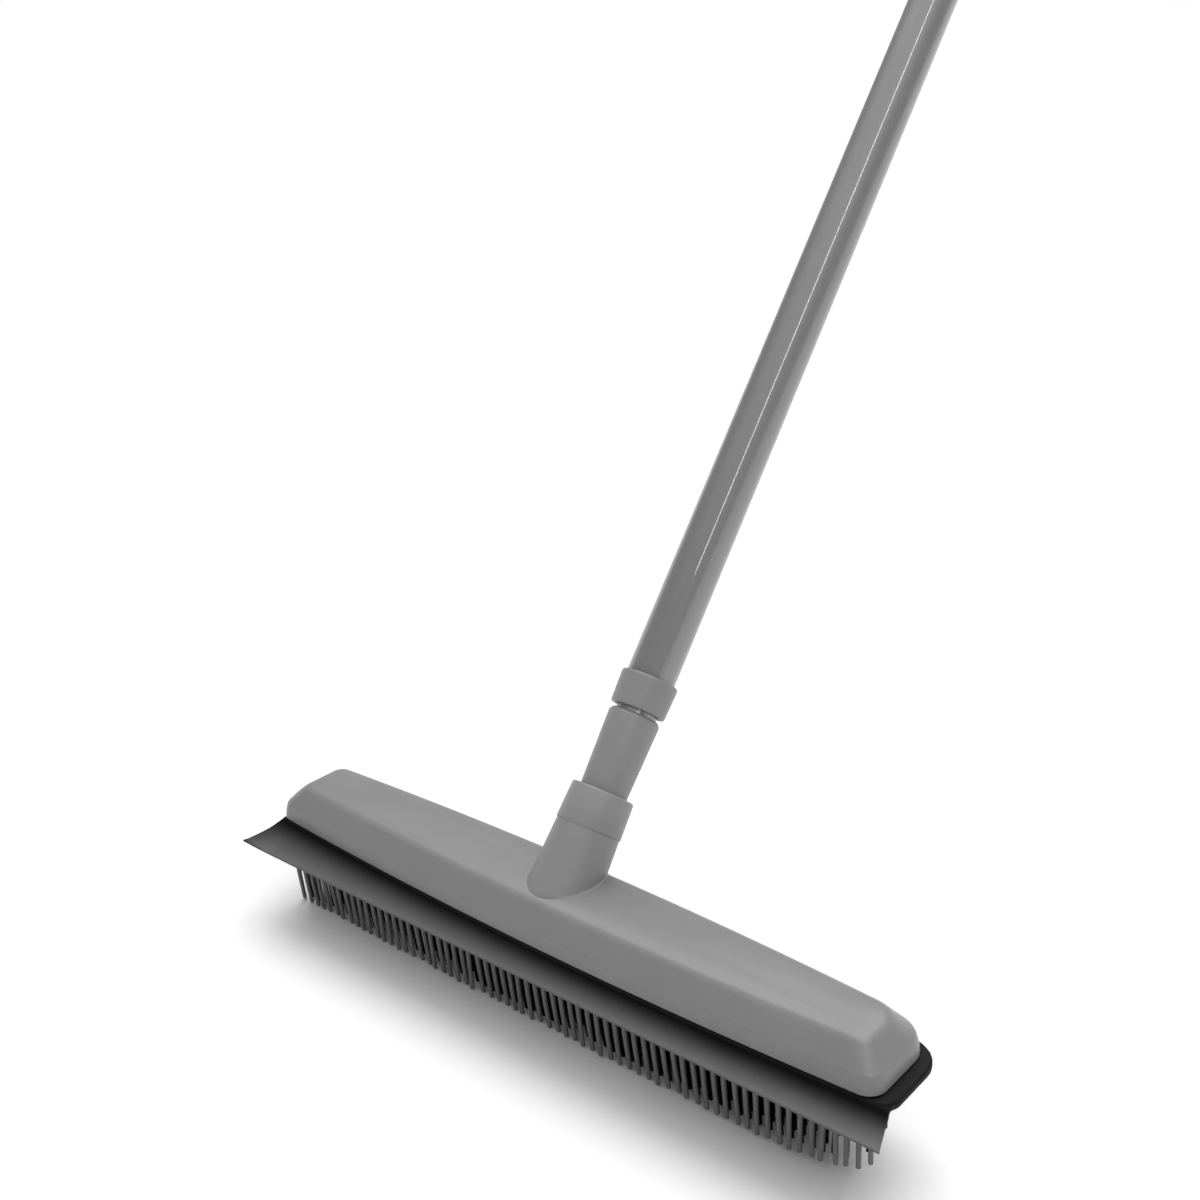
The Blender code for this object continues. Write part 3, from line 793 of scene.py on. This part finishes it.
def build_bristles(material):
    """Staggered rows of bristles that all bend towards +X, less so near that end."""
    chance = random.Random(7)
    mesh_builder = bmesh.new()
    root_z = PAD_TOP - PAD_THICKNESS + BRISTLE_SINK
    for row in range(BRISTLE_ROWS):
        y = (row - 0.5 * (BRISTLE_ROWS - 1)) * ROW_PITCH
        shift = 0.5 * (row % 2)
        for column in range(BRISTLE_COLUMNS - row % 2):
            x = (column + shift - 0.5 * (BRISTLE_COLUMNS - 1)) * BRISTLE_PITCH + BLOCK_OFFSET
            bend = BRISTLE_BEND * (1.0 - ramped(x, BEND_FADE_START, BEND_FADE_RUN))
            lean = (chance.gauss(bend, BEND_SPREAD) * MM, chance.gauss(0.0, SIDEWAYS_SPREAD) * MM)
            length = root_z - chance.uniform(*SHORTENING) * MM - end_trim(x, y)
            add_bristle(mesh_builder, Vector((x - 0.5 * bend * MM, y, root_z)), lean, length)
    bristles = new_object("bristle_field", mesh_builder, BRISTLE_SHARP_ANGLE)
    finish(bristles, material, "head", "rubber_block")


# ---------------------------------------------------------------- pole


def build_adaptor(material):
    profile = [
        (adaptor_radius(ADAPTOR_BOTTOM) - 0.7, ADAPTOR_BOTTOM),
        (adaptor_radius(ADAPTOR_BOTTOM + 1.0), ADAPTOR_BOTTOM + 1.0),
        (adaptor_radius(ADAPTOR_TOP - 1.5), ADAPTOR_TOP - 1.5),
        (adaptor_radius(ADAPTOR_TOP) - 1.3, ADAPTOR_TOP),
        (INNER_TUBE_SEAT, ADAPTOR_TOP),
        (INNER_TUBE_SEAT, ADAPTOR_SEAT_BOTTOM),
        (ADAPTOR_HOLLOW, ADAPTOR_SEAT_BOTTOM),
        (ADAPTOR_HOLLOW, ADAPTOR_BOTTOM),
    ]
    adaptor = to_pole(revolve("pole_adaptor", rounded(profile, 0.8)))
    finish(adaptor, material, "lower_pole", "adaptor")


def build_outer_tube(material):
    bottom, top = TUBE_ENDS
    profile = [(TUBE_OUTSIDE, bottom), (TUBE_OUTSIDE, top), (TUBE_INSIDE, top), (TUBE_INSIDE, bottom)]
    tube = to_pole(revolve("pole_tube", rounded(profile, 0.2, 2)))
    finish(tube, material, "outer_pole", "outer_tube")


def build_collar(material):
    """Ring that widens upwards, with a floor that centres the inner tube."""
    bottom, top = COLLAR_ENDS
    profile = [
        (COLLAR_RADIUS - 0.8, bottom), (COLLAR_RADIUS - 0.5, bottom + 0.8), (COLLAR_RADIUS, top - 1.0),
        (COLLAR_RADIUS - 0.4, top), (OUTER_TUBE_SEAT, top), (OUTER_TUBE_SEAT, bottom + COLLAR_FLOOR),
        (INNER_TUBE_SEAT, bottom + COLLAR_FLOOR), (INNER_TUBE_SEAT, bottom),
    ]
    collar = to_pole(revolve("pole_collar", rounded(profile, 0.6)))
    finish(collar, material, "outer_pole", "collar")


def build_grip(material):
    """Soft sleeve with shallow finger grooves, a little thicker at its top."""
    bottom, top = GRIP_ENDS
    slope = GRIP_RADIUS - 0.35
    profile = [(12.2, bottom), (13.3, bottom + 2.0)]
    spacing = (top - bottom - 2.0 * GRIP_MARGIN) / GRIP_GROOVES
    for groove in range(GRIP_GROOVES):
        start = bottom + GRIP_MARGIN + groove * spacing
        section = [(0.10, GRIP_RADIUS), (0.35, slope), (0.5, GRIP_WAIST), (0.65, slope), (0.90, GRIP_RADIUS)]
        profile += [(radius, start + share * spacing) for share, radius in section]
    profile += [(13.5, top - 2.0), (12.8, top), (OUTER_TUBE_SEAT, top), (OUTER_TUBE_SEAT, bottom)]
    grip = to_pole(revolve("pole_grip", rounded(profile, 1.5), ROUND, SOFT_SHARP_ANGLE))
    finish(grip, material, "outer_pole", "grip_sleeve")


def cap_body():
    """Round cap with a plug that goes into the tube."""
    top = TUBE_ENDS[1]
    plug_bottom = top - CAP_PLUG_LENGTH
    profile = [
        (0.0, plug_bottom), (CAP_PLUG_RADIUS - 0.6, plug_bottom), (CAP_PLUG_RADIUS, plug_bottom + 3.0),
        (CAP_PLUG_RADIUS, top + 0.3), (CAP_RADIUS - 0.5, top + 0.3), (CAP_RADIUS, top + 2.0),
        (CAP_RADIUS, top + 8.0), (CAP_RADIUS - 0.5, CAP_TOP - 12.0), (10.2, CAP_TOP - 4.5),
        (6.0, CAP_TOP - 1.2), (0.0, CAP_TOP),
    ]
    return revolve("hanging_cap", rounded(profile, 1.0))


def flatten_sides(cap):
    """Cut both sides of the cap away so that a flat tab is left."""
    width, depth, height = 20.0, 40.0, 60.0
    middle_z = TUBE_ENDS[1] + 40.0
    for side in (-1.0, 1.0):
        cheek_builder = bmesh.new()
        bmesh.ops.create_cube(cheek_builder, size=1.0)
        cheek = new_object("cheek", cheek_builder)
        cheek.data.transform(Matrix.Diagonal((width * MM, depth * MM, height * MM, 1.0)))
        middle_x = side * 0.5 * (width + TAB_THICKNESS)
        cheek.data.transform(Matrix.Translation((middle_x * MM, 0.0, middle_z * MM)))
        cut(cap, cheek)


def pierce_eye(cap):
    """Cut the hanging eye through the tab."""
    reach = 20.0
    eye = revolve("eye", [(0.0, -reach), (EYE_RADIUS, -reach), (EYE_RADIUS, reach), (0.0, reach)], 48)
    eye.data.transform(Matrix.Rotation(0.5 * math.pi, 4, "Y"))
    eye.data.transform(Matrix.Translation((0.0, 0.0, EYE_STATION * MM)))
    cut(cap, eye)


def build_end_cap(material):
    cap = cap_body()
    flatten_sides(cap)
    pierce_eye(cap)
    bevel = cap.modifiers.new("edges", "BEVEL")
    bevel.width = 0.7 * MM
    bevel.segments = 3
    bevel.limit_method = "ANGLE"
    bevel.angle_limit = math.radians(38.0)
    shade_smooth(cap.data, SOFT_SHARP_ANGLE)
    to_pole(cap)
    finish(cap, material, "outer_pole", "end_cap")


def dress_cad_nodes(dark, steel, lock):
    """Pieces that keep their CAD shape get their material here."""
    wanted = {
        "carrier_plate": dark, "spindle_plug": dark, "lock_cone": dark, "lock_sleeve": lock,
        "inner_tube": steel, "stop_screw": steel,
    }
    for name, node in frame["nodes"].items():
        material = steel if name.startswith("carrier_screw") else wanted.get(name)
        if material is None:
            continue
        for material_slot in node.material_slots:
            material_slot.material = material


# ---------------------------------------------------------------- studio


def add_camera():
    """Camera a little above the head, on the skirt's side and towards the +X end."""
    turn = math.radians(CAMERA_TURN)
    rise = math.radians(CAMERA_RISE)
    roll = math.radians(CAMERA_ROLL)
    right = Vector((math.cos(turn), math.sin(turn), 0.0))
    back = Vector((math.sin(turn) * math.cos(rise), -math.cos(turn) * math.cos(rise), math.sin(rise)))
    up = back.cross(right)
    across = right * math.cos(roll) + up * math.sin(roll)
    upward = up * math.cos(roll) - right * math.sin(roll)
    place = Vector((0.0, 0.0, EDGE_Z)) + back * CAMERA_BACK + across * CAMERA_ACROSS + upward * CAMERA_UP
    data = bpy.data.cameras.new("camera")
    data.sensor_width = CAMERA_SENSOR
    data.lens = CAMERA_LENS
    data.clip_start = 0.01
    camera = bpy.data.objects.new("camera", data)
    turned = Matrix((across, upward, back)).transposed().to_4x4()
    camera.matrix_world = Matrix.Translation(place) @ turned
    bpy.context.scene.collection.objects.link(camera)
    bpy.context.scene.camera = camera


def add_floor():
    floor_builder = bmesh.new()
    bmesh.ops.create_grid(floor_builder, x_segments=1, y_segments=1, size=FLOOR_HALF_SIZE)
    floor = new_object("floor", floor_builder)
    nodes = Nodes("pale_floor")
    nodes.shade("Base Color", grey(FLOOR_TONE))
    nodes.shade("Roughness", 0.7)
    floor.data.materials.append(nodes.material)


def add_sun():
    """Wide soft light from overhead and a little behind."""
    data = bpy.data.lights.new("overhead", "SUN")
    data.energy = SUN_POWER
    data.angle = math.radians(SUN_ANGLE)
    sun = bpy.data.objects.new("overhead", data)
    sun.rotation_euler = SUN_SIDE.to_track_quat("Z", "Y").to_euler()
    bpy.context.scene.collection.objects.link(sun)


def add_strip_light():
    """Narrow light beside the pole and as long as it, for the bright streak along the tube."""
    data = bpy.data.lights.new("strip", "AREA")
    data.shape = "RECTANGLE"
    data.size, data.size_y = STRIP_SIZES
    data.energy = STRIP_POWER
    strip = bpy.data.objects.new("strip", data)
    back = STRIP_SIDE.normalized()
    across = AXIS.cross(back).normalized()
    turned = Matrix((across, back.cross(across), back)).transposed().to_4x4()
    place = FOOT + AXIS * STRIP_STATION + STRIP_SIDE * STRIP_DISTANCE
    strip.matrix_world = Matrix.Translation(place) @ turned
    bpy.context.scene.collection.objects.link(strip)


def add_sky():
    """White overhead and near the horizon, dim in between, so that fronts come out darker than tops."""
    world = bpy.data.worlds.new("studio")
    world.use_nodes = True
    tree = world.node_tree
    place = tree.nodes.new("ShaderNodeTexCoord")
    split = tree.nodes.new("ShaderNodeSeparateXYZ")
    ramp = tree.nodes.new("ShaderNodeValToRGB")
    tree.links.new(place.outputs["Generated"], split.inputs["Vector"])
    tree.links.new(split.outputs["Z"], ramp.inputs["Fac"])
    tree.links.new(ramp.outputs["Color"], tree.nodes["Background"].inputs["Color"])
    for element, position in zip(ramp.color_ramp.elements, SKY_WHITE):
        element.position = position
        element.color = grey(1.0)
    for position in SKY_DIM:
        ramp.color_ramp.elements.new(position).color = grey(SKY_DIM_TONE)
    bpy.context.scene.world = world


def main():
    bpy.context.scene.view_settings.view_transform = "Standard"
    add_camera()
    grey_plastic = moulded_plastic("grey_plastic_moulded", 0.225, 0.42)
    casing_plastic = moulded_plastic("grey_plastic_casing", 0.195, 0.40, 1.0, 0.10)
    # Painted shade and light on the skirt: black at its root under the casing, where shade falls, and paler
    # towards the lip, which catches the light.
    skirt_painted_light = ("-Z", -PAD_TOP + 1.8 * MM, -PAD_TOP + 7.8 * MM, 0.085)
    # Painted light and shade on the bristles: the outermost rows are painted paler where light falls on
    # them, and the inner rows stay black as painted shade.
    bristle_painted_light = ("|Y", 16.6 * MM, 17.6 * MM, 0.12)
    build_casing(casing_plastic, grey_plastic)
    build_pad(rubber("black_rubber_moulded", 0.004, 0.60))
    build_skirt(rubber("black_rubber_skirt", 0.004, 0.46, skirt_painted_light))
    build_bristles(rubber("black_rubber_bristles", 0.002, 0.50, bristle_painted_light))
    build_adaptor(grey_plastic)
    build_outer_tube(coated_steel("coated_steel_tube", 0.185, 0.42))
    build_collar(grey_plastic)
    build_grip(moulded_plastic("grip_soft", 0.05, 0.60, 2.0))
    build_end_cap(grey_plastic)
    dark_plastic = moulded_plastic("dark_plastic_moulded", 0.05, 0.50)
    plated_steel = bright_steel("plated_steel_drawn", 0.30, 0.32)
    lock_plastic = moulded_plastic("lock_plastic_moulded", 0.27, 0.50)
    dress_cad_nodes(dark_plastic, plated_steel, lock_plastic)
    add_floor()
    add_sky()
    add_sun()
    add_strip_light()


main()
